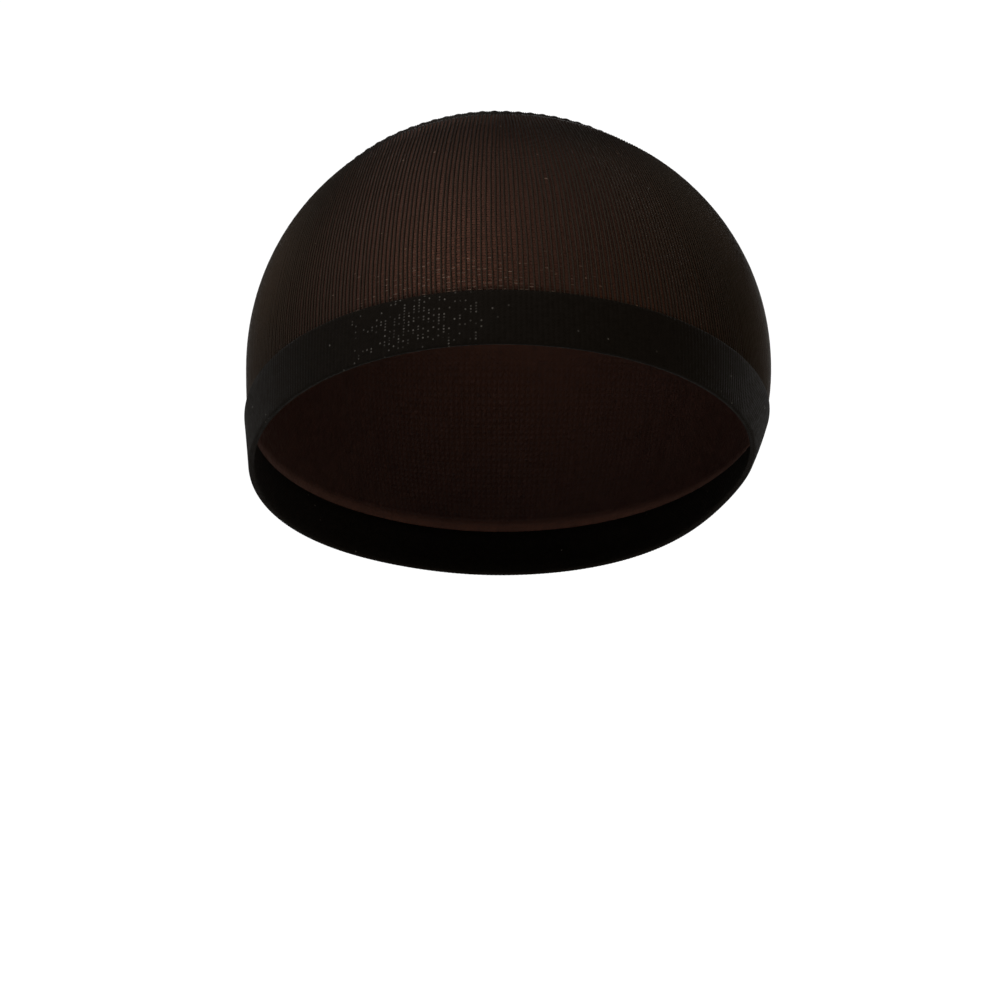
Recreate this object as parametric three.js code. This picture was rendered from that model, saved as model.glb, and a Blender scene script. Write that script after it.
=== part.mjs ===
// A stocking wig cap: a close knitted skullcap that is worn under a wig, stretched to the shape of a head.
//
// Millimetres, +Z up. The forehead is at -Y, the nape at +Y and the ears at -X and +X.
// The origin is the point inside the cap that touches the top of the head.
//
// Three pieces make the cap: the sheer crown, the double-knit band round its opening, and the
// overlocked seam that closes the knitted tube over the top of the head.

import * as THREE from 'three';

// ---- The head inside the cap ----

const HEAD_LEFT = 71.7;         // from the middle to above the ear at -X
const HEAD_RIGHT = 76.4;        // from the middle to above the ear at +X, a little further
const HEAD_FRONT = 97;          // from the middle to the forehead
const HEAD_BACK = 93;           // from the middle to the back of the head
const DOME_HEIGHT = 72;         // from the top of the head down to its widest level
const TUCK_MIDDLE = 92;         // below that level the head draws in, as if to close this far down
const TUCK_LEFT = 132;          // above the ear at -X it draws in more slowly
const TUCK_RIGHT = 67;          // and at +X faster
const FRONT_FADE = 2;           // how soon the difference between the sides fades towards the forehead
const BACK_FADE = 4;            // and, sooner, towards the back
const LEFT_POWER = 2.03;        // 2 would make the side at -X a plain ellipse, and more is fuller
const RIGHT_POWER = 2.05;       // the side at +X
const FOREHEAD_POWER = 2.08;    // the forehead is slightly fuller than the sides
const BACK_POWER = 2.25;        // and the back of the head rounder still

// ---- The cloth ----

const CROWN_WALL = 1;           // the sheer knit
const BAND_WALL = 1.8;          // the same knit turned double round the elastic
const BAND_WIDTH = 14.5;        // from the band's top edge to its bottom edge
const BAND_EDGE_ROUND = 0.6;    // radius of the band's soft corners
const BAND_WAIST = 0.92;        // the elastic draws the middle of the band in to this share of its wall
const PIECE_GAP = 0.3;          // between one piece and the next

// ---- The opening: a flat plane that is high on the forehead and low on the nape ----

const RIM_DEPTH = 103.3;                          // below the origin, halfway between forehead and nape
const RIM_TILT = THREE.MathUtils.degToRad(20.2);  // down towards the nape

// ---- The closing seam ----

const SEAM_LENGTH = 150;        // the width of the flat knitted tube that it closes
const SEAM_WIDTH = 1.9;
const SEAM_HEIGHT = 1.45;       // the top of a scallop above the crown
const SCALLOP_DEPTH = 0.32;     // how far the ridge dips between two scallops
const SCALLOP_PITCH = 3.4;      // from one pull of the thread to the next
const SEAM_SETBACK = 3;         // how far behind the origin it is at its foremost
const SEAM_FOREMOST = -6.5;     // where along X that is
const SEAM_BEND = 0.0055;       // per mm: how sharply both its ends curve back from there
const SEAM_WANDER = 0.5;        // it weaves this far to each side
const SEAM_WANDER_PITCH = 26;
const SEAM_END_TAPER = 7;       // the ridge sinks into the cloth over this length at each end
const SEAM_LEAST_HEIGHT = 0.15; // left of it at the very end

// ---- How finely the shapes are cut ----

const COLUMNS = 80;             // round the head
const CROWN_ROWS = 17;          // from the top of the head to the crown's edge
const STEPS_IN_SCALLOP = 4;
const SLOPE_STEP = 1e-4;        // radians: a small step for working out the slope of the head
const SLOPE_LENGTH = 0.1;       // and a small one for the run of the seam
const HALVINGS = 40;            // when searching down the head for the plane of the rim

// ---- The surface of the head ----

// The fullness of the head's upright outline in one direction round it. The turn is 0 at the forehead
// and a quarter circle above the ear at +X.
function powerAt(turn) {
  const endPower = Math.cos(turn) > 0 ? FOREHEAD_POWER : BACK_POWER;
  const sidePower = Math.sin(turn) > 0 ? RIGHT_POWER : LEFT_POWER;
  return sidePower + (endPower - sidePower) * Math.cos(turn) ** 2;
}

// How far down the head would close, in one direction round it.
function tuckAt(turn) {
  const sideTuck = Math.sin(turn) > 0 ? TUCK_RIGHT : TUCK_LEFT;
  const fade = Math.cos(turn) > 0 ? FRONT_FADE : BACK_FADE;
  return TUCK_MIDDLE + (sideTuck - TUCK_MIDDLE) * Math.sin(turn) ** fade;
}

// How far the head reaches from its middle along Y, on the forehead's side or on the back's.
function halfLength(forward) {
  return forward > 0 ? HEAD_FRONT : HEAD_BACK;
}

// How far it reaches from its middle along X, at +X or at -X.
function halfWidth(across) {
  return across > 0 ? HEAD_RIGHT : HEAD_LEFT;
}

// A point on the head. The drop is 0 at the top of the head and a quarter circle at its widest level.
function headPoint(turn, drop) {
  const power = powerAt(turn);
  const reach = Math.abs(Math.sin(drop)) ** (2 / power);
  const rise = Math.abs(Math.cos(drop)) ** (2 / power);
  const z = Math.cos(drop) > 0 ? rise * DOME_HEIGHT : -rise * tuckAt(turn);
  return new THREE.Vector3(
    Math.sin(turn) * halfWidth(Math.sin(turn)) * reach,
    -Math.cos(turn) * halfLength(Math.cos(turn)) * reach,
    z - DOME_HEIGHT,
  );
}

// The direction straight out of the head at that point.
function headNormal(turn, drop) {
  const round = headPoint(turn + SLOPE_STEP, drop).sub(headPoint(turn - SLOPE_STEP, drop));
  const down = headPoint(turn, drop + SLOPE_STEP).sub(headPoint(turn, drop - SLOPE_STEP));
  return down.cross(round).normalize();
}

function outFromHead(turn, drop, distance) {
  return headPoint(turn, drop).addScaledVector(headNormal(turn, drop), distance);
}

// How high a point is above the plane of the rim, measured square to that plane.
function heightOverRim(point) {
  return (point.z + RIM_DEPTH) * Math.cos(RIM_TILT) + point.y * Math.sin(RIM_TILT);
}

// The drop at which the head, in one direction round it, is at a given height over the rim's plane.
function dropAtHeight(turn, height) {
  let above = 0;
  let below = Math.PI;
  for (let halving = 0; halving < HALVINGS; halving += 1) {
    const middle = (above + below) / 2;
    if (heightOverRim(headPoint(turn, middle)) > height) above = middle;
    else below = middle;
  }
  return above;
}

// The place on the head straight below or above a point of its plan.
function placeOnDome(x, y) {
  const across = x / halfWidth(x);
  const along = -y / halfLength(-y);
  const turn = Math.atan2(across, along);
  const drop = Math.asin(Math.hypot(across, along) ** (powerAt(turn) / 2));
  return { turn, drop };
}

// ---- Closed bodies from rings of points ----

// Joins each ring of points to the next. A body that closes on itself joins the last ring to the
// first. Any other body ends in a point before its first ring and a point after its last.
function bodyFromRings(rings, ends) {
  const sides = rings[0].length;
  const points = rings.flat();
  const faces = [];
  const last = ends ? rings.length - 1 : rings.length;
  for (let ring = 0; ring < last; ring += 1) {
    const here = ring * sides;
    const next = ((ring + 1) % rings.length) * sides;
    for (let side = 0; side < sides; side += 1) {
      const after = (side + 1) % sides;
      faces.push(here + side, here + after, next + after);
      faces.push(here + side, next + after, next + side);
    }
  }
  if (ends) {
    const first = points.length;
    points.push(ends.first, ends.last);
    const lastRing = (rings.length - 1) * sides;
    for (let side = 0; side < sides; side += 1) {
      const after = (side + 1) % sides;
      faces.push(first, after, side);
      faces.push(first + 1, lastRing + side, lastRing + after);
    }
  }
  const geometry = new THREE.BufferGeometry();
  geometry.setAttribute('position', new THREE.Float32BufferAttribute(points.flatMap((p) => p.toArray()), 3));
  geometry.setIndex(faces);
  geometry.computeVertexNormals();
  return geometry;
}

// One ring of points round the head, each worked out from its direction.
function ringRoundHead(pointAt) {
  return Array.from({ length: COLUMNS }, (_, column) => pointAt((column / COLUMNS) * 2 * Math.PI));
}

// ---- Crown ----

// From the top of the head down its inside, over the cut edge and up its outside.
function crownGeometry() {
  const edgeHeight = BAND_WIDTH + PIECE_GAP;
  const ringAt = (row, wall) => ringRoundHead((turn) => {
    const drop = (row / CROWN_ROWS) * dropAtHeight(turn, edgeHeight);
    return outFromHead(turn, drop, wall);
  });
  const rows = Array.from({ length: CROWN_ROWS }, (_, row) => row + 1);
  const inside = rows.map((row) => ringAt(row, 0));
  const outside = rows.map((row) => ringAt(row, CROWN_WALL)).reverse();
  return bodyFromRings([...inside, ...outside], {
    first: new THREE.Vector3(0, 0, 0),
    last: new THREE.Vector3(0, 0, CROWN_WALL),
  });
}

// ---- Band ----

// The band's section: how far out each corner is, and how high over the rim. The outer face is drawn
// slightly hollow by the elastic, the inner face hugs the head, and the corners are soft.
function bandSection() {
  const round = BAND_EDGE_ROUND;
  const top = BAND_WIDTH;
  return [
    { out: round, height: 0 },
    { out: BAND_WALL - round, height: 0 },
    { out: BAND_WALL, height: round },
    { out: BAND_WALL * BAND_WAIST, height: top * 0.5 },
    { out: BAND_WALL, height: top - round },
    { out: BAND_WALL - round, height: top },
    { out: round, height: top },
    { out: 0, height: top - round },
    { out: 0, height: round },
  ];
}

function bandGeometry() {
  const rings = bandSection().map(({ out, height }) => ringRoundHead((turn) => (
    outFromHead(turn, dropAtHeight(turn, height), out)
  )));
  return bodyFromRings(rings);
}

// ---- Closing seam ----

// The middle line of the seam on the head, at a distance along it from its middle.
function seamPlace(along) {
  const x = halfWidth(along) * Math.sin(along / halfWidth(along));
  const wander = SEAM_WANDER * Math.sin((along / SEAM_WANDER_PITCH) * 2 * Math.PI);
  return placeOnDome(x, SEAM_SETBACK + SEAM_BEND * (x - SEAM_FOREMOST) ** 2 + wander);
}

// The height of the ridge: a row of scallops that sinks away at both ends.
function ridgeHeight(along) {
  const scallop = 0.5 - 0.5 * Math.cos((along / SCALLOP_PITCH) * 2 * Math.PI);
  const toEnd = SEAM_LENGTH / 2 - Math.abs(along);
  const taper = Math.sqrt(Math.min(1, toEnd / SEAM_END_TAPER));
  return (SEAM_HEIGHT - SCALLOP_DEPTH * (1 - scallop)) * taper;
}

// The ridge's section: how far to the side of the middle line each corner is, and how far up.
const RIDGE_SECTION = [
  { side: -0.5, up: 0 },
  { side: -0.42, up: 0.6 },
  { side: -0.2, up: 1 },
  { side: 0.2, up: 1 },
  { side: 0.42, up: 0.6 },
  { side: 0.5, up: 0 },
];

function seamGeometry() {
  const foot = CROWN_WALL + PIECE_GAP;
  const stations = Math.round(SEAM_LENGTH / SCALLOP_PITCH) * STEPS_IN_SCALLOP;
  const distance = (station) => (station / stations - 0.5) * SEAM_LENGTH;
  const onHead = (along, out) => {
    const { turn, drop } = seamPlace(along);
    return outFromHead(turn, drop, out);
  };
  const rings = [];
  for (let station = 1; station < stations; station += 1) {
    const along = distance(station);
    const { turn, drop } = seamPlace(along);
    const up = headNormal(turn, drop);
    const forward = onHead(along + SLOPE_LENGTH, foot).sub(onHead(along - SLOPE_LENGTH, foot)).normalize();
    const sideways = new THREE.Vector3().crossVectors(forward, up).normalize();
    const tall = Math.max(ridgeHeight(along) - PIECE_GAP, SEAM_LEAST_HEIGHT);
    rings.push(RIDGE_SECTION.map((corner) => (
      onHead(along, foot)
        .addScaledVector(sideways, corner.side * SEAM_WIDTH)
        .addScaledVector(up, corner.up * tall)
    )));
  }
  return bodyFromRings(rings, {
    first: onHead(distance(0), foot),
    last: onHead(distance(stations), foot),
  });
}

// ---- The cap ----

const sheerKnit = new THREE.MeshStandardMaterial({ color: 0x33231a, roughness: 0.75, metalness: 0 });
const doubleKnit = new THREE.MeshStandardMaterial({ color: 0x13100d, roughness: 0.7, metalness: 0 });
const seamThread = new THREE.MeshStandardMaterial({ color: 0x0d0c0b, roughness: 0.6, metalness: 0 });

function piece(name, geometry, material) {
  const mesh = new THREE.Mesh(geometry, material);
  mesh.name = name;
  return mesh;
}

const cap = new THREE.Group();
cap.add(piece('crown', crownGeometry(), sheerKnit));
cap.add(piece('band', bandGeometry(), doubleKnit));
cap.add(piece('closing_seam', seamGeometry(), seamThread));

export default cap;
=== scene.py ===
# %% [markdown]
# # A stocking wig cap
#
# A stocking cap is a tube of fine rib knit. One end of the tube is turned in double round an elastic, and
# the other is closed with a seam over the top of the head. It is pulled over the hair before a wig goes on.
#
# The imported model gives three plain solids: the crown, the band and the closing seam. This lesson knits
# them. Every wale (a column of stitches that runs up the cap) and every course (a row of stitches that runs
# round it) is laid on the same head form as the solids, so nothing has to be fitted afterwards.

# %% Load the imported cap
import math
import bpy
import numpy as np
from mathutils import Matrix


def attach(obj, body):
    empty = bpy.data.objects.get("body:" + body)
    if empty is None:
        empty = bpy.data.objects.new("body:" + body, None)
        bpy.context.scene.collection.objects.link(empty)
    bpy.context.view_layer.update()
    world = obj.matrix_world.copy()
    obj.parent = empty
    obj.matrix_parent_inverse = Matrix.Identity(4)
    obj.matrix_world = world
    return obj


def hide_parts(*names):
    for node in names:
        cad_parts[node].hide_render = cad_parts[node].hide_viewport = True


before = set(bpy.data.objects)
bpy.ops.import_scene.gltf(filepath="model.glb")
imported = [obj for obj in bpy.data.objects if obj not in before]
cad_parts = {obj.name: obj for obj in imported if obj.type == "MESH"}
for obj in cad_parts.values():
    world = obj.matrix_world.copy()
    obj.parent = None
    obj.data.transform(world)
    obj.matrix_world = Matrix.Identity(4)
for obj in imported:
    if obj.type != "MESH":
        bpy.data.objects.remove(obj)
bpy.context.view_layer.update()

scene = bpy.context.scene
scene.view_settings.view_transform = "Standard"
print("nodes:", sorted(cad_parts))

# %% [markdown]
# ## The camera
#
# The cap is seen from straight in front, level with its lower half and from far away, so the lens is long.
# The lens and the frame are in millimetres, and every other size in this lesson is in metres.

# %% Place the camera
LENS = 195.1
FRAME_WIDTH = 36.0
CAMERA_PLACE = (-0.0001, -1.55, -0.1093)
camera = bpy.data.objects.new("camera", bpy.data.cameras.new("camera"))
camera.data.lens = LENS
camera.data.sensor_width = FRAME_WIDTH
camera.location = CAMERA_PLACE
camera.rotation_euler = (math.radians(90.0), 0.0, 0.0)
scene.collection.objects.link(camera)
scene.camera = camera
print("camera at", tuple(camera.location))

# %% [markdown]
# ## The form of the head
#
# A stretched cap takes the shape of the head inside it. The form is a kind of ellipsoid: its outline from
# the front is close to a half ellipse, its forehead and back are a little fuller, and below the widest
# level it draws in again, on each side in its own way. Two angles name a place on it. The turn goes round
# the head from the forehead, and the drop goes down from the top. Numpy works out thousands of places in
# one call, which a loop over points could not do in good time.

# %% Define the head form
HEAD_LEFT = 0.0717
HEAD_RIGHT = 0.0764
HEAD_FRONT = 0.097
HEAD_BACK = 0.093
DOME_HEIGHT = 0.072
TUCK_MIDDLE = 0.092
TUCK_LEFT = 0.132
TUCK_RIGHT = 0.067
FRONT_FADE = 2
BACK_FADE = 4
LEFT_POWER = 2.03
RIGHT_POWER = 2.05
FOREHEAD_POWER = 2.08
BACK_POWER = 2.25
RIM_DEPTH = 0.1033
RIM_TILT = math.radians(20.2)
SMALL_TURN = 1e-4
HALVINGS = 40


def half_length(forward):
    """How far the head reaches along Y, on the forehead's side or on the back's."""
    return np.where(forward > 0, HEAD_FRONT, HEAD_BACK)


def half_width(across):
    """How far it reaches along X, at +X or at -X."""
    return np.where(across > 0, HEAD_RIGHT, HEAD_LEFT)


def fullness(turn):
    """The power of the upright outline in one direction: 2 is an ellipse, and more is fuller."""
    end = np.where(np.cos(turn) > 0, FOREHEAD_POWER, BACK_POWER)
    side = np.where(np.sin(turn) > 0, RIGHT_POWER, LEFT_POWER)
    return side + (end - side) * np.cos(turn) ** 2


def tuck(turn):
    """How far below its widest level the head would close, in one direction."""
    side = np.where(np.sin(turn) > 0, TUCK_RIGHT, TUCK_LEFT)
    fade = np.where(np.cos(turn) > 0, FRONT_FADE, BACK_FADE)
    return TUCK_MIDDLE + (side - TUCK_MIDDLE) * np.abs(np.sin(turn)) ** fade


def on_head(turn, drop):
    """The place on the head at a turn and a drop."""
    power = fullness(turn)
    reach = np.abs(np.sin(drop)) ** (2.0 / power)
    rise = np.abs(np.cos(drop)) ** (2.0 / power)
    z = np.where(np.cos(drop) > 0, rise * DOME_HEIGHT, -rise * tuck(turn))
    x = np.sin(turn) * half_width(np.sin(turn)) * reach
    y = -np.cos(turn) * half_length(np.cos(turn)) * reach
    return np.stack([x, y, z - DOME_HEIGHT], axis=-1)


def unit(vectors):
    return vectors / np.linalg.norm(vectors, axis=-1, keepdims=True)


def out_of_head(turn, drop):
    """The direction straight out of the head."""
    round_it = on_head(turn + SMALL_TURN, drop) - on_head(turn - SMALL_TURN, drop)
    down_it = on_head(turn, drop + SMALL_TURN) - on_head(turn, drop - SMALL_TURN)
    return unit(np.cross(down_it, round_it))


def off_head(turn, drop, distance):
    return on_head(turn, drop) + out_of_head(turn, drop) * np.expand_dims(distance, -1)


def drop_at_height(turn, height):
    """The drop at which the head is at a height over the tilted plane of the rim."""
    above, below = np.zeros_like(turn), np.full_like(turn, np.pi)
    for _ in range(HALVINGS):
        middle = (above + below) / 2
        place = on_head(turn, middle)
        over_rim = (place[..., 2] + RIM_DEPTH) * math.cos(RIM_TILT) + place[..., 1] * math.sin(RIM_TILT)
        above = np.where(over_rim > height, middle, above)
        below = np.where(over_rim > height, below, middle)
    return above


corner = on_head(np.array([0.0, np.pi / 2, np.pi]), np.full(3, np.pi / 2))
print("head form, forehead, ear, back:", corner.round(4).tolist())

# %% [markdown]
# ## The line of the seam
#
# The tube was flat when its end was sewn shut, so the seam runs over the head from side to side. It lies
# just behind the top, bends back at both ends and wanders a little, as a seam that is guided by hand does.
# The line is a formula of the distance along it, because every wale has to know where on the seam it ends.

# %% Draw the seam's line
SEAM_LENGTH = 0.150
SEAM_SETBACK = 0.003
SEAM_FOREMOST = -0.0065
SEAM_BEND = 5.5
SEAM_WANDER = 0.0005
SEAM_WANDER_PITCH = 0.026


def seam_place(along):
    """The turn and drop of the seam's middle line, at a distance along it from its middle."""
    x = half_width(along) * np.sin(along / half_width(along))
    wander = SEAM_WANDER * np.sin(along / SEAM_WANDER_PITCH * 2 * np.pi)
    y = SEAM_SETBACK + SEAM_BEND * (x - SEAM_FOREMOST) ** 2 + wander
    across, forward = x / half_width(x), -y / half_length(-y)
    turn = np.arctan2(across, forward)
    return turn, np.arcsin(np.hypot(across, forward) ** (fullness(turn) / 2))


seam_ends = on_head(*seam_place(np.array([-SEAM_LENGTH / 2, SEAM_LENGTH / 2])))
print("seam ends:", seam_ends.round(4).tolist())

# %% [markdown]
# ## The wales at the band
#
# The wales start evenly spaced at the crown's lower edge. That edge is measured in many short steps, and
# the wales are counted off along it, because equal steps of the turn would crowd them at the forehead and
# nape.

# %% Count the wales off
WALES = 378
KNIT_EDGE = 0.0142
BAND_SAMPLES = 7201


def edge_drop(turn):
    """The drop of the crown's lower edge."""
    return drop_at_height(turn, KNIT_EDGE)


sample_angle = np.linspace(-np.pi, np.pi, BAND_SAMPLES)
sample_edge = on_head(sample_angle, edge_drop(sample_angle))
sample_run = np.concatenate([[0.0], np.cumsum(np.linalg.norm(np.diff(sample_edge, axis=0), axis=1))])
WALE_PITCH = sample_run[-1] / WALES


def band_turn(wale):
    """Where a wale stands at the band. Wale 0 is at the nape, and the count goes round by way of -X."""
    return np.interp(np.asarray(wale) % WALES, sample_run / WALE_PITCH, sample_angle)


print(f"{WALES} wales, {WALE_PITCH * 1000:.2f} mm apart at the band")

# %% [markdown]
# ## How the wales run
#
# At the top, half of the wales meet the seam from the forehead's side and half from the back. On the way up
# they fan out as the lines of elliptic coordinates do, whose slit is the seam, and that is why elliptic
# coordinates are used here and not a plain longitude and latitude, which would bring all the wales together
# in one point.
#
# The head is first unrolled to a disc whose edge is the band. The elliptic lines are drawn in that disc,
# then eased so that they end exactly on the seam and on the band. The tube is pulled on with a slight
# twist, most of it at the sides.

# %% Run the wales up to the seam
SLIT = 0.5
SEAM_EVENNESS = 0.6
BAND_TWIST = 0.02
SIDE_TWIST = 0.05
SIDE_LEAN = 0.1
BAND_PULL = 5
WALE_SAMPLES = 60
sample_twisted = sample_angle + BAND_TWIST
sample_twisted += np.sin(sample_angle) ** 2 * (SIDE_TWIST + SIDE_LEAN * np.sin(sample_angle))


def eased(share):
    """From 0 to 1 with a soft start and a soft end."""
    return share**3 * (share * (6 * share - 15) + 10)


def seam_angle(turn):
    """The elliptic angle of the wale that stands at this turn of the band."""
    wrapped = np.where(turn < sample_twisted[0], turn + 2 * np.pi, turn)
    return np.interp(wrapped, sample_twisted, sample_angle)


def seam_run(angle):
    """How far along the seam the wale with this elliptic angle ends."""
    even = 2 / np.pi * np.arcsin(np.sin(angle))
    return SEAM_LENGTH / 2 * ((1 - SEAM_EVENNESS) * np.sin(angle) + SEAM_EVENNESS * even)


def knit_place(turn_at_band, climb):
    """The turn and drop of the knit, from the band, where climb is 0, up to the seam, where it is 1."""
    angle = seam_angle(turn_at_band)
    down = 1.0 - climb
    reach = np.arccosh(1.0 / SLIT)
    spread = np.arcsinh(down * np.sinh(reach))
    across = SLIT * np.cosh(spread) * np.sin(angle)
    forward = np.sinh(spread) / np.sinh(reach) * np.cos(angle)
    seam_turn, seam_drop = seam_place(seam_run(angle))
    seam_reach = seam_drop / edge_drop(seam_turn)
    near_seam = 1.0 - eased(spread / reach)
    across += (seam_reach * np.sin(seam_turn) - SLIT * np.sin(angle)) * near_seam
    forward += seam_reach * np.cos(seam_turn) * near_seam
    near_band = (spread / reach) ** BAND_PULL
    across += (np.sin(turn_at_band) - np.sin(angle)) * near_band
    forward += (np.cos(turn_at_band) - np.cos(angle)) * near_band
    turn = np.arctan2(across, forward)
    return turn, np.hypot(across, forward) * edge_drop(turn)


front_wale = on_head(*knit_place(np.zeros(WALE_SAMPLES), np.linspace(0.0, 1.0, WALE_SAMPLES)))
front_length = np.linalg.norm(np.diff(front_wale, axis=0), axis=1).sum()
print(f"the wale over the forehead is {front_length * 1000:.0f} mm long")

# %% [markdown]
# ## The pucker beside the seam
#
# Each pull of the seam's thread draws the knit in a little, and between two pulls it lifts. This fades
# within a few courses. Every layer of the knit is moved by the same amount, so the layers keep their
# distance.

# %% Pucker the knit beside the seam
COURSES = 118
SCALLOP_PITCH = 0.0034
PUCKER_DEPTH = 0.00016
PUCKER_COURSES = 6.0


def pucker(turn_at_band, climb):
    """How far the pull of the seam lifts the knit beside it, or draws it in where the number is negative."""
    along = seam_run(seam_angle(turn_at_band))
    fade = np.exp(-(((1.0 - climb) * COURSES / PUCKER_COURSES) ** 2))
    return -PUCKER_DEPTH * np.cos(along / SCALLOP_PITCH * 2 * np.pi) * fade


print(f"{COURSES} courses, of which about {PUCKER_COURSES:.0f} pucker beside the seam")

# %% [markdown]
# ## Meshes from arrays
#
# Small helpers turn numpy arrays into Blender objects and give their points values of their own. A shell is
# a grid of points, and its UV map is named knit: U counts the wales and V the courses, so a finish can find
# each stitch.

# %% Make objects from arrays


def add_object(name, points, edges=(), faces=()):
    mesh = bpy.data.meshes.new(name)
    mesh.from_pydata(np.asarray(points).reshape(-1, 3).tolist(), list(edges), list(faces))
    made = bpy.data.objects.new(name, mesh)
    scene.collection.objects.link(made)
    return made


def add_values(mesh, name, values, kind="FLOAT"):
    attribute = mesh.attributes.new(name, kind, "POINT")
    field = "value" if kind == "FLOAT" else "vector"
    attribute.data.foreach_set(field, np.asarray(values, dtype=np.float32).ravel())


def add_knit_uv(mesh, face_uvs):
    layer = mesh.uv_layers.new(name="knit")
    layer.data.foreach_set("uv", np.asarray(face_uvs, dtype=np.float32).ravel())


def count_triangles(piece):
    return sum(len(face.vertices) - 2 for face in piece.data.polygons)


print("helpers ready")

# %% [markdown]
# ## A tree that lays yarn along wires
#
# Every rib and every course is yarn that follows a line, and Geometry Nodes do that well: the tree takes
# bare wires, turns them into curves, and sweeps a small section along them, round or slightly flattened.
# First come the helpers that any such tree needs.

# %% Make helpers for trees


def new_tree(name, sockets):
    tree = bpy.data.node_groups.new(name, "GeometryNodeTree")
    tree.interface.new_socket("Geometry", in_out="INPUT", socket_type="NodeSocketGeometry")
    for label, kind, value in sockets:
        socket = tree.interface.new_socket(label, in_out="INPUT", socket_type=kind)
        if value is not None:
            socket.default_value = value
    tree.interface.new_socket("Geometry", in_out="OUTPUT", socket_type="NodeSocketGeometry")
    return tree, tree.nodes.new("NodeGroupInput"), tree.nodes.new("NodeGroupOutput")


def join(tree, *pairs):
    for source, target in pairs:
        tree.links.new(source, target)


def named_value(tree, name, kind="FLOAT"):
    node = tree.nodes.new("GeometryNodeInputNamedAttribute")
    node.data_type = kind
    node.inputs["Name"].default_value = name
    return node.outputs["Attribute"]


def finish_tree(tree, mesh, entry, leave):
    """Smooth the mesh, make it real and give it its material."""
    smooth = tree.nodes.new("GeometryNodeSetShadeSmooth")
    real = tree.nodes.new("GeometryNodeRealizeInstances")
    dress = tree.nodes.new("GeometryNodeSetMaterial")
    join(
        tree,
        (mesh, smooth.inputs["Geometry"]),
        (smooth.outputs["Geometry"], real.inputs["Geometry"]),
        (real.outputs["Geometry"], dress.inputs["Geometry"]),
        (entry.outputs["Material"], dress.inputs["Material"]),
        (dress.outputs["Geometry"], leave.inputs["Geometry"]),
    )


print("tree helpers ready")

# %% [markdown]
# The yarn's radius is read at each wire's points, so a rib gets finer where the wales crowd together at the
# seam. The direction out of the head is read there too, and it keeps a flattened section the right way up.

# %% Build the yarn tree


def yarn_tree():
    tree, entry, leave = new_tree(
        "lay_yarn",
        [
            ("Sides", "NodeSocketInt", 6),
            ("Width", "NodeSocketFloat", 1.0),
            ("Height", "NodeSocketFloat", 1.0),
            ("Material", "NodeSocketMaterial", None),
        ],
    )
    wires = tree.nodes.new("GeometryNodeMeshToCurve")
    section = tree.nodes.new("GeometryNodeCurvePrimitiveCircle")
    section.inputs["Radius"].default_value = 1.0
    oval = tree.nodes.new("GeometryNodeTransform")
    tall = tree.nodes.new("ShaderNodeCombineXYZ")
    tall.inputs["Z"].default_value = 1.0
    sweep = tree.nodes.new("GeometryNodeCurveToMesh")
    sweep.inputs["Fill Caps"].default_value = True
    upright = tree.nodes.new("GeometryNodeSetCurveNormal")
    upright.mode = "FREE"
    join(
        tree,
        (entry.outputs["Geometry"], wires.inputs["Mesh"]),
        (wires.outputs["Curve"], upright.inputs["Curve"]),
        (named_value(tree, "outward", "FLOAT_VECTOR"), upright.inputs["Normal"]),
        (entry.outputs["Sides"], section.inputs["Resolution"]),
        (entry.outputs["Width"], tall.inputs["X"]),
        (entry.outputs["Height"], tall.inputs["Y"]),
        (section.outputs["Curve"], oval.inputs["Geometry"]),
        (tall.outputs["Vector"], oval.inputs["Scale"]),
        (upright.outputs["Curve"], sweep.inputs["Curve"]),
        (oval.outputs["Geometry"], sweep.inputs["Profile Curve"]),
        (named_value(tree, "thickness"), sweep.inputs["Scale"]),
    )
    finish_tree(tree, sweep.outputs["Mesh"], entry, leave)
    return tree


lay_yarn = yarn_tree()
print("yarn tree:", len(lay_yarn.nodes), "nodes")

# %% [markdown]
# A tree runs once for each piece. Its result is kept as a plain mesh and the bare wires are thrown away, so
# that nothing is left to work out when the piece is moved or handed on.

# %% Run a tree


def run_tree(wires, tree, name, **values):
    """Run a tree on an object and keep the result as a plain mesh."""
    modifier = wires.modifiers.new(name, "NODES")
    modifier.node_group = tree
    for item in tree.interface.items_tree:
        label = item.name.lower()
        if item.item_type == "SOCKET" and item.in_out == "INPUT" and label in values:
            modifier[item.identifier] = values[label]
    evaluated = wires.evaluated_get(bpy.context.evaluated_depsgraph_get())
    mesh = bpy.data.meshes.new_from_object(evaluated)
    mesh.name = name
    wires.modifiers.clear()
    bpy.data.objects.remove(wires)
    made = bpy.data.objects.new(name, mesh)
    scene.collection.objects.link(made)
    print(f"{name}: {count_triangles(made)} triangles")
    return made


print("ready to lay yarn")

# %% [markdown]
# ## The finishes
#
# Nylon knit gets its look from its stitches more than from its colour. One shader group, used by all the
# finishes, turns the count of wales and courses into a number for each stitch, so that every stitch can be a
# little lighter or duller than the next, and a few of them get a glint, a highlight painted into their
# colour.

# %% Build the stitch group
# The glints are painted highlights: a light colour mixed into a stitch's base colour.
STRAY_GLINTS = 0.004
DULLEST_GLINT = 0.2
HOLE_EDGE = 6.0


def shader_group(name, inputs, outputs):
    tree = bpy.data.node_groups.new(name, "ShaderNodeTree")
    for label, value in inputs:
        socket = tree.interface.new_socket(label, in_out="INPUT", socket_type="NodeSocketFloat")
        socket.default_value = value
    for label in outputs:
        tree.interface.new_socket(label, in_out="OUTPUT", socket_type="NodeSocketFloat")
    return tree, tree.nodes.new("NodeGroupInput"), tree.nodes.new("NodeGroupOutput")


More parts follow.
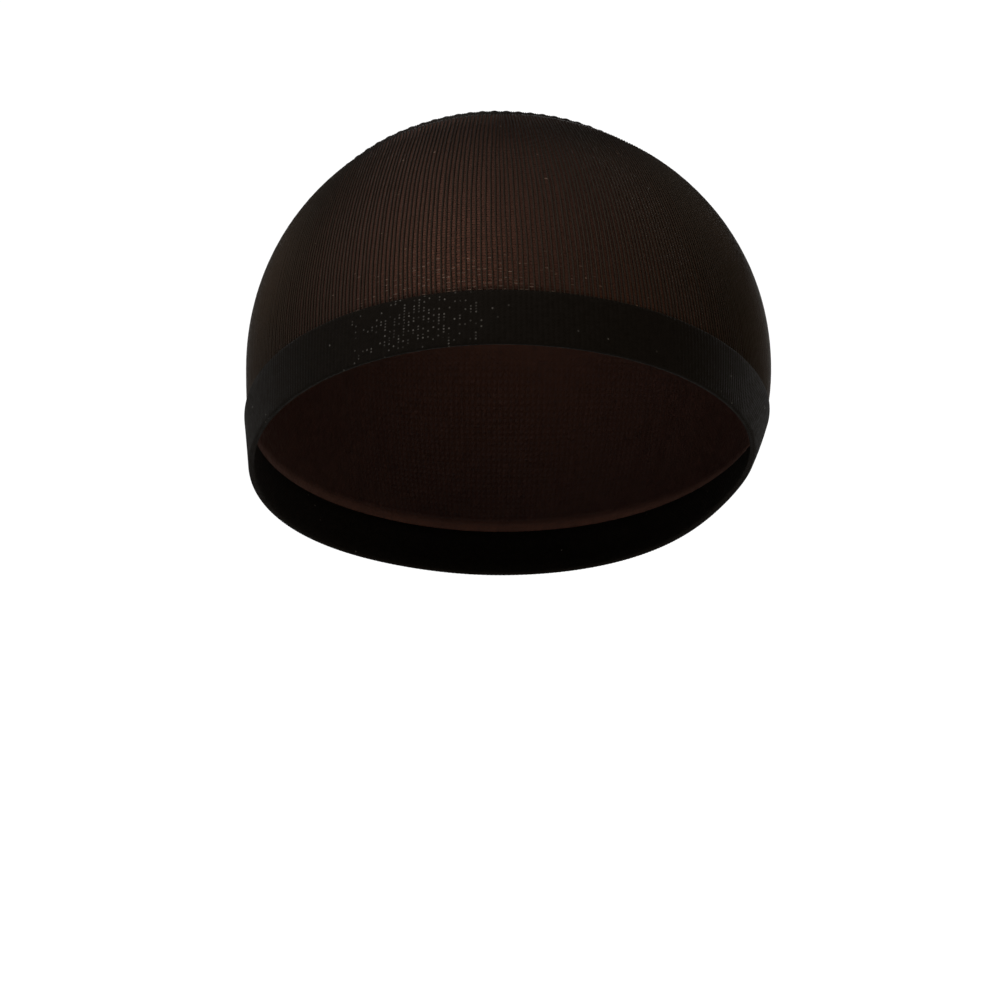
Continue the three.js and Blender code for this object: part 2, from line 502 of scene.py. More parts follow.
def sum_node(tree, operation, *values):
    """A Math node with its inputs linked or set, for short formulas."""
    node = tree.nodes.new("ShaderNodeMath")
    node.operation = operation
    for socket, value in zip(node.inputs, values):
        if isinstance(value, (int, float)):
            socket.default_value = value
        else:
            tree.links.new(value, socket)
    return node.outputs["Value"]


def stitch_group():
    tree, entry, leave = shader_group(
        "stitches",
        [
            ("Wale", 0.0),
            ("Course", 0.0),
            ("Glint Share", 0.0),
            ("Spot Width", 1.0),
            ("Spot Height", 1.0),
            ("Patch Wale", 0.0),
            ("Patch Course", 0.0),
            ("Patch Wales", 1.0),
            ("Patch Courses", 1.0),
        ],
        ["Shade", "Glint", "Loop", "Hole"],
    )
    wale, course = entry.outputs["Wale"], entry.outputs["Course"]
    place = tree.nodes.new("ShaderNodeCombineXYZ")
    tree.links.new(sum_node(tree, "ROUND", wale), place.inputs["X"])
    tree.links.new(sum_node(tree, "FLOOR", course), place.inputs["Y"])
    chance = tree.nodes.new("ShaderNodeTexWhiteNoise")
    chance.noise_dimensions = "2D"
    tree.links.new(place.outputs["Vector"], chance.inputs["Vector"])
    tree.links.new(chance.outputs["Value"], leave.inputs["Shade"])
    from_rib = sum_node(tree, "SUBTRACT", wale, sum_node(tree, "ROUND", wale))
    from_loop = sum_node(tree, "SUBTRACT", sum_node(tree, "FRACT", course), 0.5)

    def apart(across, along):
        """The square of a distance."""
        across_squared = sum_node(tree, "MULTIPLY", across, across)
        return sum_node(tree, "ADD", across_squared, sum_node(tree, "MULTIPLY", along, along))

    past_wale = sum_node(tree, "SUBTRACT", wale, entry.outputs["Patch Wale"])
    past_course = sum_node(tree, "SUBTRACT", course, entry.outputs["Patch Course"])
    patch_across = sum_node(tree, "DIVIDE", past_wale, entry.outputs["Patch Wales"])
    patch_along = sum_node(tree, "DIVIDE", past_course, entry.outputs["Patch Courses"])
    crowd = sum_node(tree, "EXPONENT", sum_node(tree, "MULTIPLY", apart(patch_across, patch_along), -1.0))
    likely = sum_node(tree, "ADD", crowd, STRAY_GLINTS)
    share = sum_node(tree, "MULTIPLY", likely, entry.outputs["Glint Share"])
    split = tree.nodes.new("ShaderNodeSeparateColor")
    tree.links.new(chance.outputs["Color"], split.inputs["Color"])
    # Painted highlights: the stitches picked here get the glint colour, most of them in the patch where the
    # key light would catch the yarn.
    chosen = sum_node(tree, "LESS_THAN", split.outputs["Green"], share)
    in_spot = apart(
        sum_node(tree, "DIVIDE", from_rib, entry.outputs["Spot Width"]),
        sum_node(tree, "DIVIDE", from_loop, entry.outputs["Spot Height"]),
    )
    spot = sum_node(tree, "LESS_THAN", in_spot, 1.0)
    shine = sum_node(tree, "MULTIPLY_ADD", split.outputs["Blue"], 1.0 - DULLEST_GLINT, DULLEST_GLINT)
    glint = sum_node(tree, "MULTIPLY", sum_node(tree, "MULTIPLY", chosen, spot), shine)
    tree.links.new(glint, leave.inputs["Glint"])
    shut = sum_node(tree, "MINIMUM", sum_node(tree, "MULTIPLY", apart(from_rib, from_loop), HOLE_EDGE), 1.0)
    tree.links.new(sum_node(tree, "SUBTRACT", 1.0, shut), leave.inputs["Hole"])
    beat = sum_node(tree, "COSINE", sum_node(tree, "MULTIPLY", from_loop, 2 * math.pi))
    ridge = sum_node(tree, "COSINE", sum_node(tree, "MULTIPLY", from_rib, 2 * math.pi))
    raised = sum_node(tree, "MULTIPLY_ADD", sum_node(tree, "MULTIPLY", beat, ridge), 0.5, 0.5)
    tree.links.new(raised, leave.inputs["Loop"])
    return tree


stitches = stitch_group()
print("stitch group:", len(stitches.nodes), "nodes")

# %% [markdown]
# Each finish is a Principled material of its own. Its shade runs between two colours, a glinting stitch adds
# a third, which is a painted highlight, and the bump raises the loops. The painted glints crowd in a patch
# where the key light would catch the yarn, given by the wale and the course of its middle and by its half
# sizes, and only a few stray outside it. Numbers that are the same all over, such as the sheen, are set on
# the shader itself.

# %% Define a knit finish
TOP_STARTS = -0.017
TOP_FULL = -0.005
# Partly painted shade: over the top of the head the crown's colours are mixed towards this black.
TOP_BLACK_AND_SHADE = (0.0050, 0.0048, 0.0046)
TOP_SHARE = 0.9
SHEEN_ROUGHNESS = 0.22
SHEEN_TINT = (0.80, 0.82, 0.78, 1.0)
ROUGHNESS_RANGE = 0.15
ROUGHNESS_BELOW = 0.07
GLINT_POLISH = 0.3
BUMP_STRENGTH = 0.8


def attribute_value(tree, name):
    node = tree.nodes.new("ShaderNodeAttribute")
    node.attribute_name = name
    return node.outputs["Fac"]


def denser_and_shaded_on_top(tree, shade):
    """Darker over the top, where the knit is stretched least: partly its own black, partly painted shade."""
    place = tree.nodes.new("ShaderNodeSeparateXYZ")
    tree.links.new(tree.nodes.new("ShaderNodeTexCoord").outputs["Object"], place.inputs["Vector"])
    rise = tree.nodes.new("ShaderNodeMapRange")
    rise.interpolation_type = "SMOOTHSTEP"
    rise.inputs["From Min"].default_value = TOP_STARTS
    rise.inputs["From Max"].default_value = TOP_FULL
    rise.inputs["To Max"].default_value = TOP_SHARE
    tree.links.new(place.outputs["Z"], rise.inputs["Value"])
    blend = tree.nodes.new("ShaderNodeMix")
    blend.data_type = "RGBA"
    blend.inputs["B"].default_value = (*TOP_BLACK_AND_SHADE, 1.0)
    tree.links.new(rise.outputs["Result"], blend.inputs["Factor"])
    tree.links.new(shade, blend.inputs["A"])
    return blend.outputs["Result"]


def knit_finish(
    name,
    dark,
    light,
    roughness,
    gloss,
    tint,
    sheen,
    loop_height,
    glint=(0.0, 0.0, 0.0),
    glint_share=0.0,
    spot=(1.0, 1.0),
    patch=(0.0, 0.0, 1.0, 1.0),
    from_uv=False,
    between=False,
    openness=0.0,
    dark_top=False,
):
    """A nylon knit.

    From_uv reads the stitches off the UV map, and between centres them between two ribs. Openness lets a
    little light through the middle of each stitch, and dark_top darkens the knit over the top of the head,
    partly as painted shade.
    """
    material = bpy.data.materials.new(name)
    material.use_nodes = True
    tree = material.node_tree
    shader = tree.nodes["Principled BSDF"]
    shader.inputs["Specular IOR Level"].default_value = gloss
    shader.inputs["Specular Tint"].default_value = (*tint, 1.0)
    shader.inputs["Sheen Weight"].default_value = sheen
    shader.inputs["Sheen Roughness"].default_value = SHEEN_ROUGHNESS
    shader.inputs["Sheen Tint"].default_value = SHEEN_TINT
    if from_uv:
        uv = tree.nodes.new("ShaderNodeUVMap")
        uv.uv_map = "knit"
        apart = tree.nodes.new("ShaderNodeSeparateXYZ")
        tree.links.new(uv.outputs["UV"], apart.inputs["Vector"])
        wale, course = apart.outputs["X"], apart.outputs["Y"]
    else:
        wale = attribute_value(tree, "wale")
        course = attribute_value(tree, "course")
    if between:
        wale = sum_node(tree, "ADD", wale, 0.5)
    group = tree.nodes.new("ShaderNodeGroup")
    group.node_tree = stitches
    group.inputs["Glint Share"].default_value = glint_share
    group.inputs["Spot Width"].default_value, group.inputs["Spot Height"].default_value = spot
    for label, value in zip(("Patch Wale", "Patch Course", "Patch Wales", "Patch Courses"), patch):
        group.inputs[label].default_value = value
    tree.links.new(wale, group.inputs["Wale"])
    tree.links.new(course, group.inputs["Course"])
    body = tree.nodes.new("ShaderNodeMix")
    body.data_type = "RGBA"
    body.inputs["A"].default_value = (*dark, 1.0)
    body.inputs["B"].default_value = (*light, 1.0)
    tree.links.new(group.outputs["Shade"], body.inputs["Factor"])
    shade = body.outputs["Result"]
    # Painted shade, in part: the knit turns darker over the top of the head.
    if dark_top:
        shade = denser_and_shaded_on_top(tree, shade)
    sparkle = tree.nodes.new("ShaderNodeMix")
    sparkle.data_type = "RGBA"
    sparkle.inputs["B"].default_value = (*glint, 1.0)
    tree.links.new(group.outputs["Glint"], sparkle.inputs["Factor"])
    tree.links.new(shade, sparkle.inputs["A"])
    tree.links.new(sparkle.outputs["Result"], shader.inputs["Base Color"])
    least = roughness - ROUGHNESS_BELOW
    dull = sum_node(tree, "MULTIPLY_ADD", group.outputs["Shade"], ROUGHNESS_RANGE, least)
    polished = sum_node(tree, "MULTIPLY_ADD", group.outputs["Glint"], -GLINT_POLISH, dull)
    tree.links.new(polished, shader.inputs["Roughness"])
    bump = tree.nodes.new("ShaderNodeBump")
    bump.inputs["Distance"].default_value = loop_height
    bump.inputs["Strength"].default_value = BUMP_STRENGTH
    tree.links.new(group.outputs["Loop"], bump.inputs["Height"])
    tree.links.new(bump.outputs["Normal"], shader.inputs["Normal"])
    if openness > 0.0:
        cover = sum_node(tree, "MULTIPLY_ADD", group.outputs["Hole"], -openness, 1.0)
        tree.links.new(cover, shader.inputs["Alpha"])
    return material


print("knit finish ready")

# %% [markdown]
# Six finishes are mixed. The black yarn is so fine that the head under it shows through, so the crown's
# three are dark browns: the ground is the reddest, and the ribs are the darkest, where yarn lies on yarn.
# The welt is double and nearly pure black, and it is matt but for small glints, highlights painted as light
# dots into its colour where its shiny elastic would catch the key light, crowded at the front left. The
# seam's rolled cloth is as black, and its thread is a little glossier.

# %% Mix the finishes
rib_nylon = knit_finish(
    "rib_nylon",
    dark=(0.0122, 0.0104, 0.0084),
    light=(0.0158, 0.0135, 0.0109),
    roughness=0.60,
    gloss=0.21,
    tint=(1.0, 0.53, 0.27),
    sheen=0.05,
    loop_height=0.00005,
    dark_top=True,
)
course_nylon = knit_finish(
    "course_nylon",
    dark=(0.0230, 0.0128, 0.0100),
    light=(0.0380, 0.0215, 0.0165),
    roughness=0.55,
    gloss=0.50,
    tint=(1.0, 0.45, 0.28),
    sheen=0.02,
    loop_height=0.00004,
    # Painted highlights: light dashes in the rungs' colour, crowded low on the front, a little to the left,
    # where the key light would catch them.
    glint=(0.26, 0.19, 0.15),
    glint_share=0.40,
    spot=(0.5, 0.5),
    patch=(181.0, 5.0, 17.0, 7.0),
    between=True,
    dark_top=True,
)
ground_nylon = knit_finish(
    "ground_nylon",
    dark=(0.0240, 0.0134, 0.0112),
    light=(0.0280, 0.0154, 0.0129),
    roughness=0.62,
    gloss=0.62,
    tint=(1.0, 0.37, 0.20),
    sheen=0.05,
    loop_height=0.00004,
    from_uv=True,
    between=True,
    openness=0.06,
    dark_top=True,
)
welt_nylon = knit_finish(
    "welt_nylon",
    dark=(0.0056, 0.0045, 0.0037),
    light=(0.0080, 0.0064, 0.0053),
    roughness=0.75,
    gloss=0.05,
    tint=(1.0, 0.80, 0.55),
    sheen=0.012,
    loop_height=0.00006,
    # Painted highlights: light dots in the welt's colour, crowded at the front left where the key light
    # would catch its elastic.
    glint=(0.095, 0.087, 0.078),
    glint_share=0.68,
    spot=(0.17, 0.30),
    patch=(172.0, 10.0, 10.0, 9.0),
    from_uv=True,
)
seam_nylon = knit_finish(
    "seam_nylon",
    dark=(0.0060, 0.0046, 0.0038),
    light=(0.0100, 0.0076, 0.0062),
    roughness=0.60,
    gloss=0.15,
    tint=(1.0, 0.90, 0.80),
    sheen=0.03,
    loop_height=0.00006,
    from_uv=True,
)
thread_nylon = knit_finish(
    "thread_nylon",
    dark=(0.0090, 0.0075, 0.0065),
    light=(0.0130, 0.0110, 0.0095),
    roughness=0.48,
    gloss=0.30,
    tint=(1.0, 0.95, 0.90),
    sheen=0.03,
    loop_height=0.00002,
)
finishes = (rib_nylon, course_nylon, ground_nylon, welt_nylon, seam_nylon, thread_nylon)
print("finishes:", [finish.name for finish in finishes])

# %% [markdown]
# ## The ground of the crown
#
# Between its ribs the knit is a film of fine filament that lets a little light through. It is one thin
# closed shell, from the band up to the seam on the outside and back down on the inside. The two halves are
# welded along the seam.

# %% Make the crown's ground
GROUND_OUT = 0.00042
GROUND_IN = 0.00022
GROUND_COLUMNS = 480
GROUND_ROWS = 40


def wale_at(turn):
    """The count of wales up to a turn of the band."""
    return np.interp(turn, sample_angle, sample_run / WALE_PITCH)


def make_ground():
    half = GROUND_COLUMNS // 2
    angles = np.arange(GROUND_COLUMNS) / GROUND_COLUMNS * 2 * np.pi - np.pi / 2
    wrapped = (angles + np.pi) % (2 * np.pi) - np.pi
    turns = np.interp(wrapped, sample_angle, sample_twisted)
    turns = (turns + np.pi) % (2 * np.pi) - np.pi
    climbs = np.arange(GROUND_ROWS + 1) / GROUND_ROWS
    at_band, climb = turns[None, :] + 0 * climbs[:, None], climbs[:, None] + 0 * turns[None, :]
    turn, drop = knit_place(at_band, climb)
    lift = pucker(at_band, climb)
    outer = off_head(turn, drop, GROUND_OUT + lift)
    inner = off_head(turn, drop, GROUND_IN + lift)
    points = np.concatenate([outer.reshape(-1, 3), inner.reshape(-1, 3)])
    layer = (GROUND_ROWS + 1) * GROUND_COLUMNS

    def index(side, row, column):
        column %= GROUND_COLUMNS
        if row == GROUND_ROWS and column > half:
            column = GROUND_COLUMNS - column
        return side * layer + row * GROUND_COLUMNS + column

    wales = wale_at(turns)
    faces, uvs = [], []
    for column in range(GROUND_COLUMNS):
        low, high = wales[column], wales[(column + 1) % GROUND_COLUMNS]
        high += WALES if high < low - WALES / 2 else 0
        low += WALES if low < high - WALES / 2 else 0
        for row in range(GROUND_ROWS):
            course = COURSES * row / GROUND_ROWS, COURSES * (row + 1) / GROUND_ROWS
            square = [(row, column), (row, column + 1), (row + 1, column + 1), (row + 1, column)]
            corners = [(low, course[0]), (high, course[0]), (high, course[1]), (low, course[1])]
            for side in (0, 1):
                step = 1 if side == 0 else -1
                ids = [index(side, *place) for place in square[::step]]
                kept = [k for k in range(4) if ids[k] != ids[k - 1]]
                faces.append([ids[k] for k in kept])
                uvs += [corners[::step][k] for k in kept]
        hem = [index(0, 0, column + 1), index(0, 0, column), index(1, 0, column), index(1, 0, column + 1)]
        faces.append(hem)
        uvs += [(high, 0), (low, 0), (low, 0), (high, 0)]
    used = sorted({k for face in faces for k in face})
    new_id = {old: new for new, old in enumerate(used)}
    shell = add_object("crown_ground", points[used], faces=[[new_id[k] for k in face] for face in faces])
    add_knit_uv(shell.data, uvs)
    shell.data.shade_smooth()
    shell.data.materials.append(ground_nylon)
    return shell


crown_ground = make_ground()
print("crown ground:", count_triangles(crown_ground), "triangles")

# %% [markdown]
# ## The ribs
#
# One wire for each wale, from the band to the seam. A real wale is never quite straight, so each wire sways
# a little, with a fixed seed. The yarn tree gives the wires their body.

# %% Lay the ribs
RIB_CENTRE = 0.00062
RIB_RADIUS = 0.00030
RIB_SHARE = 0.25
RIB_STEPS = 36
RIB_SWAY = 0.05
SWAY_WAVES = 23.0
SWAY_PHASE = 6.28
SWAY_SEED = 7
rng = np.random.default_rng(SWAY_SEED)


def wires_object(name, points, outward, thickness, wale, course, closed):
    """One wire for each row of points."""
    lines, steps = points.shape[:2]
    ids = np.arange(lines * steps).reshape(lines, steps)
    pairs = np.stack([ids[:, :-1].ravel(), ids[:, 1:].ravel()], axis=-1)
    if closed:
        pairs = np.concatenate([pairs, np.stack([ids[:, -1], ids[:, 0]], axis=-1)])
    wires = add_object(name, points, edges=pairs.tolist())
    add_values(wires.data, "thickness", thickness)
    add_values(wires.data, "wale", wale)
    add_values(wires.data, "course", course)
    add_values(wires.data, "outward", outward, "FLOAT_VECTOR")
    return wires


def make_ribs():
    wale = np.arange(WALES)[:, None] + np.zeros(RIB_STEPS + 1)[None, :]
    climb = np.arange(RIB_STEPS + 1)[None, :] / RIB_STEPS + np.zeros(WALES)[:, None]
    aside = rng.normal(0.0, RIB_SWAY, (WALES, 1))
    phase = rng.uniform(0, SWAY_PHASE, (WALES, 1))
    sway = aside + RIB_SWAY * np.sin(climb * SWAY_WAVES + phase)
    at_band = band_turn(wale + sway)
    turn, drop = knit_place(at_band, climb)
    points = off_head(turn, drop, RIB_CENTRE + pucker(at_band, climb))
    gap = np.linalg.norm(np.roll(points, -1, axis=0) - np.roll(points, 1, axis=0), axis=-1) / 2
    radius = np.minimum(RIB_RADIUS, gap * RIB_SHARE)
    wires = wires_object(
        "rib_wires", points, out_of_head(turn, drop), radius, wale, climb * COURSES, closed=False
    )
    return run_tree(wires, lay_yarn, "crown_ribs", sides=6, width=1.0, height=0.9, material=rib_nylon)


crown_ribs = make_ribs()

# %% [markdown]
# ## The courses
#
# The yarn that crosses from rib to rib shows between the ribs as fine rungs. Each course is one ring round
# the cap, and near the top the rings draw in to long loops round the seam. They lie under the face of the
# ribs.

# %% Lay the courses
COURSE_CENTRE = 0.00046
COURSE_RADIUS = 0.00013
COURSE_SHARE = 0.26
COURSE_STEPS = 189


def make_courses():
    course = np.arange(1, COURSES)[:, None] + np.zeros(COURSE_STEPS)[None, :]
    wale = (np.arange(COURSE_STEPS) + 0.5)[None, :] * WALES / COURSE_STEPS + np.zeros(COURSES - 1)[:, None]
    at_band, climb = band_turn(wale), course / COURSES
    turn, drop = knit_place(at_band, climb)
    points = off_head(turn, drop, COURSE_CENTRE + pucker(at_band, climb))
    gap = np.linalg.norm(np.gradient(points, axis=0), axis=-1)
    radius = np.minimum(COURSE_RADIUS, gap * COURSE_SHARE)
    wires = wires_object(
        "course_wires", points, out_of_head(turn, drop), radius, wale, course + 0.5, closed=True
    )
    return run_tree(wires, lay_yarn, "crown_courses", sides=3, width=1.0, height=1.0, material=course_nylon)


crown_courses = make_courses()

# %% [markdown]
# ## The band
#
# The band is the end of the tube, turned in double round the elastic. Its outer face keeps the ribs,
# pressed flatter, and its edges are soft folds. It is one closed ring, cut four times to each wale so that
# the ribs are real.

# %% Make the band
BAND_WIDTH = 0.0145
BAND_WALL = 0.0018
BAND_WAIST = 0.00014
BAND_RIB_HEIGHT = 0.00015
BAND_COURSE = 0.00078
BAND_CUTS = 4
BAND_FOLD = 0.0007
BAND_SHOULDER = 0.0022
BAND_LIP_OUT = 0.0004
BAND_LIP_HEIGHT = 0.0006
BAND_INSIDE = 0.00002
BAND_INSIDE_RIB = 0.3
INSIDE_MARGIN = 0.25
FOLD_ROWS = 5
FACE_ROWS = 6
INSIDE_ROWS = 3
LAST_COURSE = 0.4


def band_section():
    """Rows of (how far out, how high, how much rib), once round the section from the outside's foot."""
    rows = []
    for angle in np.linspace(0, np.pi / 2, FOLD_ROWS):
        out = BAND_WALL - BAND_FOLD * (1 - np.sin(angle))
        rows.append((out, BAND_FOLD * (1 - np.cos(angle)), np.sin(angle)))
    for height in np.linspace(BAND_SHOULDER, BAND_WIDTH - BAND_SHOULDER, FACE_ROWS):
        waist = BAND_WAIST * np.sin(height / BAND_WIDTH * np.pi)
        rows.append((BAND_WALL - waist, height, 1.0))
    for angle in np.linspace(0, np.pi / 2, FOLD_ROWS):
        out = BAND_WALL - BAND_FOLD * (1 - np.cos(angle))
        rows.append((out, BAND_WIDTH - BAND_FOLD * (1 - np.sin(angle)), np.cos(angle)))
    rows += [(BAND_LIP_OUT, BAND_WIDTH, 0.0), (BAND_INSIDE, BAND_WIDTH - BAND_LIP_HEIGHT, 0.0)]
    for height in np.linspace(BAND_WIDTH * (1 - INSIDE_MARGIN), BAND_WIDTH * INSIDE_MARGIN, INSIDE_ROWS):
        rows.append((BAND_INSIDE, height, BAND_INSIDE_RIB))
    rows += [(BAND_INSIDE, BAND_LIP_HEIGHT, 0.0), (BAND_LIP_OUT, 0.0, 0.0)]
    return np.array(rows)


def make_band():
    section = band_section()
    rows, columns = len(section), WALES * BAND_CUTS
    wale = np.arange(columns) / BAND_CUTS
    turn = band_turn(wale)[None, :] + np.zeros(rows)[:, None]
    drop = drop_at_height(turn, section[:, 1][:, None] + 0 * turn)
    rib = np.cos(wale * 2 * np.pi)[None, :] * 0.5 - 0.5
    facing = np.where(section[:, 0] > BAND_WALL / 2, 1.0, -1.0)
    out = section[:, 0][:, None] + rib * BAND_RIB_HEIGHT * section[:, 2][:, None] * facing[:, None]
    points = off_head(turn, drop, out)
    faces, uvs = [], []
    steps = np.linalg.norm(np.diff(section[:, :2], axis=0), axis=1)
    run = np.concatenate([[0], np.cumsum(steps)]) / BAND_COURSE
    run = np.append(run, run[-1] + LAST_COURSE)
    for row in range(rows):
        low, high = row * columns, ((row + 1) % rows) * columns
        for column in range(columns):
            after = (column + 1) % columns
            faces.append([low + column, high + column, high + after, low + after])
            u0, u1 = column / BAND_CUTS, (column + 1) / BAND_CUTS
            uvs += [(u0, run[row]), (u0, run[row + 1]), (u1, run[row + 1]), (u1, run[row])]
    band = add_object("band_welt", points, faces=[face[::-1] for face in faces])
    add_knit_uv(band.data, np.asarray(uvs).reshape(-1, 4, 2)[:, ::-1])
    band.data.shade_smooth()
    band.data.materials.append(welt_nylon)
    return band


band_welt = make_band()
print("band welt:", count_triangles(band_welt), "triangles")

# %% [markdown]
# ## The closing seam
#
# The overlock seam rolls the raw edge of the tube into a cord, and its thread pulls that cord in at every
# stitch, which makes the scallops.

# %% Make the seam's rolled edge
SEAM_WIDTH = 0.0019
SEAM_FOOT = 0.0008
SEAM_TOP = 0.00235
SCALLOP_DEPTH = 0.00032
SEAM_TAPER = 0.007
SEAM_CUTS = 10
SEAM_SIDES = 9
SMALL_STEP = 1e-4
RIDGE_END = 0.02
RIDGE_NECK = 0.8
RIDGE_SUNK = 0.25
POINTS_IN_WALE = 4
RINGS_IN_COURSE = 5


def seam_frame(along):
    """The place of the seam at a distance along it, then the directions up, onward and to its side."""
    turn, drop = seam_place(along)
    up = out_of_head(turn, drop)
    ahead, behind = seam_place(along + SMALL_STEP), seam_place(along - SMALL_STEP)
    forward = unit(on_head(*ahead) - on_head(*behind))
    return on_head(turn, drop), up, forward, unit(np.cross(forward, up))


def ridge_size(along):
    """How tall the roll is and how far it reaches to a side."""
    scallop = 0.5 - 0.5 * np.cos(along / SCALLOP_PITCH * 2 * np.pi)
    taper = np.sqrt(np.clip((SEAM_LENGTH / 2 - np.abs(along)) / SEAM_TAPER, RIDGE_END, 1.0))
    tall = (SEAM_TOP - SEAM_FOOT - SCALLOP_DEPTH * (1 - scallop)) * taper
    wide = SEAM_WIDTH / 2 * (RIDGE_NECK + (1 - RIDGE_NECK) * scallop) * (0.5 + 0.5 * taper)
    return tall, wide


def make_ridge():
    count = int(round(SEAM_LENGTH / SCALLOP_PITCH)) * SEAM_CUTS
    along = np.linspace(-SEAM_LENGTH / 2, SEAM_LENGTH / 2, count + 1)
    place, up, forward, side = seam_frame(along)
    tall, wide = ridge_size(along)
    angles = np.linspace(0, 2 * np.pi, SEAM_SIDES * 2, endpoint=False)
    across = np.cos(angles)[None, :, None] * side[:, None, :] * wide[:, None, None]
    lift = np.clip(np.sin(angles), -RIDGE_SUNK, 1.0)[None, :, None] * up[:, None, :] * tall[:, None, None]
    rings = place[:, None, :] + up[:, None, :] * SEAM_FOOT + across + lift
    sides = len(angles)
    faces = []
    for ring in range(count):
        for k in range(sides):
            a, b = ring * sides + k, ring * sides + (k + 1) % sides
            faces.append([a, b, b + sides, a + sides])
    faces.append(list(range(sides))[::-1])
    faces.append([count * sides + k for k in range(sides)])
    ridge = add_object("seam_ridge", rings, faces=faces)
    ridge.data.shade_smooth()
    ridge.data.materials.append(seam_nylon)
    corners = [k for face in faces for k in face]
    add_knit_uv(ridge.data, [(k % sides / POINTS_IN_WALE, k // sides / RINGS_IN_COURSE) for k in corners])
    return ridge


seam_ridge = make_ridge()
print("seam ridge:", count_triangles(seam_ridge), "triangles")

# %% [markdown]
# The thread that closes the seam goes over the roll at every pull and comes back through its foot. Two
# strands run side by side. They are wires like the ribs, so the same yarn tree lays them.

# %% Sew the seam's thread
THREAD_RADIUS = 0.00012
THREAD_CROSSING = 0.0012
THREAD_STEPS = 16
STRAND_OFFSETS = (-0.00028, 0.00028)
THREAD_LEAN = 0.1
STEPS_IN_TWIST = 3


def make_stitches():
    last_pull = int(SEAM_LENGTH / 2 / SCALLOP_PITCH) - 1
    pull = np.arange(-last_pull, last_pull)[:, None]
    share = np.arange(THREAD_STEPS)[None, :] / THREAD_STEPS * 2
    over = share < 1
    sideways = np.where(over, np.cos(np.pi * share), 2 * share - 3)
    upward = np.where(over, np.sin(np.pi * share), 0.0)
    step_over = (share - 0.5) * THREAD_CROSSING
    step_back = THREAD_CROSSING / 2 + (share - 1) * (SCALLOP_PITCH - THREAD_CROSSING)
    run = (pull * SCALLOP_PITCH + np.where(over, step_over, step_back)).ravel()
    every_step = (len(pull), THREAD_STEPS)
    sideways, upward = (np.broadcast_to(part, every_step).ravel() for part in (sideways, upward))
    strands, outward = [], []
    for offset in STRAND_OFFSETS:
        place, up, _, side = seam_frame(run + offset)
        tall, wide = ridge_size(run + offset)
        rise = up * (SEAM_FOOT + upward * (tall + THREAD_RADIUS / 2))[:, None]
        strands.append(place + rise + side * (sideways * (wide + THREAD_RADIUS / 2))[:, None])
        outward.append(unit(up * (upward + THREAD_LEAN)[:, None] + side * sideways[:, None]))
    strands, outward = np.array(strands), np.array(outward)
    count = np.zeros(strands.shape[:2])
    beat = count + np.arange(len(run)) / STEPS_IN_TWIST
    wires = wires_object("seam_wires", strands, outward, count + THREAD_RADIUS, count, beat, closed=False)
    return run_tree(wires, lay_yarn, "seam_stitches", sides=6, width=1.0, height=1.0, material=thread_nylon)


seam_stitches = make_stitches()

# %% [markdown]
# ## The floor and the world
#
# A plain pale floor lies below the cap, and the world is white. Only the camera sees them so bright: the
# little light that they give the cap keeps its black knit black.

# %% Lay the floor and light the world
FLOOR_LEVEL = -0.35
FLOOR_REACH = 6.0
FLOOR_GREY = (0.85, 0.85, 0.85)
FLOOR_ROUGHNESS = 0.9
WHITE = (1.0, 1.0, 1.0)
LIGHT_TURNS_FROM = -0.2
LIGHT_TURNS_TO = 0.9


def make_floor():
    signs = [(-1, -1), (1, -1), (1, 1), (-1, 1)]
    corners = [(x * FLOOR_REACH, y * FLOOR_REACH, FLOOR_LEVEL) for x, y in signs]
    floor = add_object("floor", corners, faces=[[0, 1, 2, 3]])
    paint = bpy.data.materials.new("floor_paint")
    paint.use_nodes = True
    shader = paint.node_tree.nodes["Principled BSDF"]
    shader.inputs["Base Color"].default_value = (*FLOOR_GREY, 1.0)
    shader.inputs["Roughness"].default_value = FLOOR_ROUGHNESS
    shader.inputs["Emission Color"].default_value = (*WHITE, 1.0)
    seen = paint.node_tree.nodes.new("ShaderNodeLightPath").outputs["Is Camera Ray"]
    paint.node_tree.links.new(seen, shader.inputs["Emission Strength"])
    floor.data.materials.append(paint)
    return floor


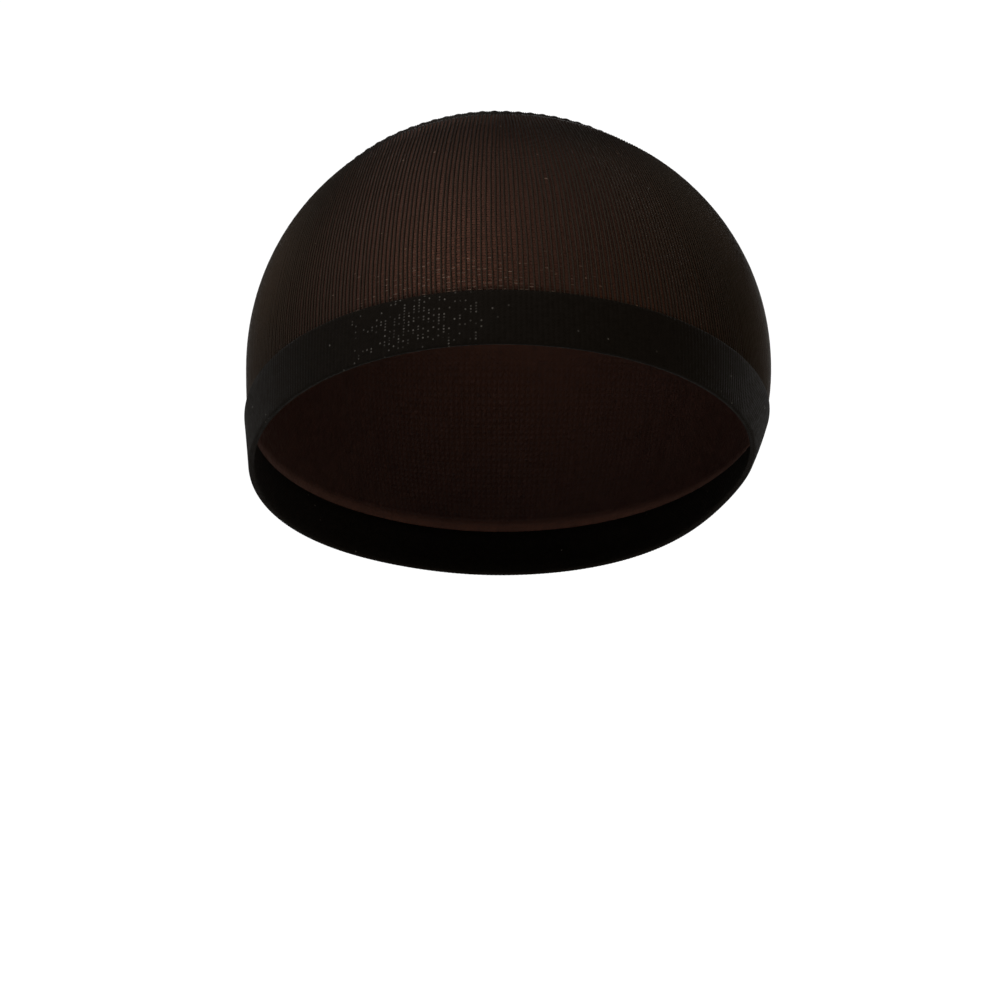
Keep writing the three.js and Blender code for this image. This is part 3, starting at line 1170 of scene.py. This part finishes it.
def make_world(backdrop, behind, around):
    """White to the camera. It lights the cap a little more from behind, as a white backdrop does."""
    world = bpy.data.worlds.new("studio")
    world.use_nodes = True
    tree = world.node_tree
    paper = tree.nodes["Background"]
    paper.inputs["Color"].default_value = (*WHITE, 1.0)
    heading = tree.nodes.new("ShaderNodeTexCoord")
    apart = tree.nodes.new("ShaderNodeSeparateXYZ")
    tree.links.new(heading.outputs["Generated"], apart.inputs["Vector"])
    blend = tree.nodes.new("ShaderNodeMapRange")
    blend.interpolation_type = "SMOOTHSTEP"
    blend.inputs["From Min"].default_value = LIGHT_TURNS_FROM
    blend.inputs["From Max"].default_value = LIGHT_TURNS_TO
    blend.inputs["To Min"].default_value = around
    blend.inputs["To Max"].default_value = behind
    tree.links.new(apart.outputs["Y"], blend.inputs["Value"])
    pick = tree.nodes.new("ShaderNodeMix")
    tree.links.new(tree.nodes.new("ShaderNodeLightPath").outputs["Is Camera Ray"], pick.inputs["Factor"])
    tree.links.new(blend.outputs["Result"], pick.inputs["A"])
    pick.inputs["B"].default_value = backdrop
    tree.links.new(pick.outputs["Result"], paper.inputs["Strength"])
    return world


floor = make_floor()
scene.world = make_world(backdrop=1.05, behind=0.05, around=0.04)
print("floor at", FLOOR_LEVEL, "m, and the world is called", scene.world.name)

# %% [markdown]
# ## The lights
#
# Four soft lights do the work. The key stands high in front and to the left, and it is wide, so that the
# ribs stay soft on the side away from it. A weak warm light lifts the right side, and two low ones behind
# the cap draw a thin grey line down its edges.

# %% Place the lights
WARM = (1.0, 0.80, 0.45)
MIDDLE = (0.0, 0.0, -0.06)


def add_light(name, place, size, power, color=WHITE):
    """A round soft light that is aimed at the middle of the cap."""
    light = bpy.data.objects.new(name, bpy.data.lights.new(name, "AREA"))
    light.data.shape = "DISK"
    light.data.size = size
    light.data.energy = power
    light.data.color = color
    light.location = place
    aim = np.array(MIDDLE) - np.array(place)
    light.rotation_euler = (
        math.atan2(math.hypot(aim[0], aim[1]), -aim[2]),
        0.0,
        math.atan2(aim[0], -aim[1]) + math.pi,
    )
    scene.collection.objects.link(light)


add_light("key_light", place=(-0.66, -0.72, 1.18), size=1.9, power=21.8)
add_light("side_light", place=(1.45, -0.80, 0.35), size=0.9, power=3.4, color=WARM)
add_light("edge_light", place=(1.05, 1.20, 0.15), size=0.9, power=6.5)
add_light("far_light", place=(-1.05, 1.20, 0.15), size=0.9, power=3.5)

# %% [markdown]
# ## Tie the pieces to the imported model
#
# Every piece rides on the cap's one body and stands for its solid, which is hidden, and the slot of the
# record that it belongs to is printed with it.

# %% Tie the pieces to the model
for piece, node, slot in (
    (crown_ground, "crown", "sheer_knit"),
    (crown_ribs, "crown", "sheer_knit"),
    (crown_courses, "crown", "sheer_knit"),
    (band_welt, "band", "double_knit"),
    (seam_ridge, "closing_seam", "seam_thread"),
    (seam_stitches, "closing_seam", "seam_thread"),
):
    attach(piece, "root")
    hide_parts(node)
    print(f"{piece.name} stands for {node}, in {slot}")
